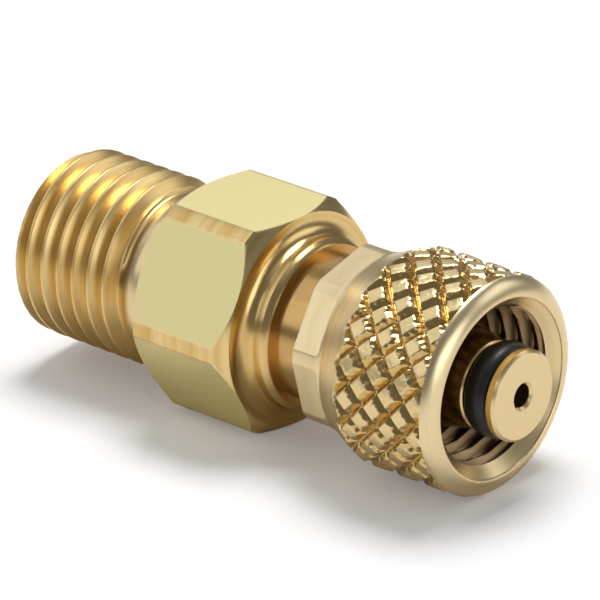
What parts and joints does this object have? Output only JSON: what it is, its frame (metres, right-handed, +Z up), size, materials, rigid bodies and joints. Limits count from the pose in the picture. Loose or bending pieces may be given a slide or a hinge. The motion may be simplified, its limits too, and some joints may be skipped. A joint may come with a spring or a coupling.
{
  "type": "threaded quick coupling adapter",
  "caption": "Hexagon adapter with a male thread at one end and, at the other, an o-ring sealed probe inside a knurled swivel nut with an internal thread.",
  "frame": {"origin": "centre of the bounding box in plan, at the level of the part's lowest point", "axes": "+X along the fitting's axis from the male thread to the knurled nut, +Z up from the hexagon's lower flat to its upper flat"},
  "size_m": [0.0424, 0.0178, 0.0162],
  "materials": {
    "body_brass": "turned, bright",
    "nut_brass": "turned and knurled, satin",
    "ring_steel": "drawn wire",
    "seal_rubber": "smooth, slightly oiled"
  },
  "bodies": {
    "stem": {"adapter_body": "body_brass", "probe_o_ring": "seal_rubber"},
    "ring": {"retaining_ring": "ring_steel"},
    "nut": {"coupling_nut": "nut_brass"}
  },
  "joints": [
    {"name": "nut_slide", "type": "slide", "parent": "stem", "child": "ring", "axis": [1, 0, 0], "range_m": [-0.0028, 0]},
    {"name": "nut_spin", "type": "hinge", "parent": "ring", "child": "nut", "pos_m": [0.01257, 0, 0.0081], "axis": [1, 0, 0], "continuous": true}
  ]
}
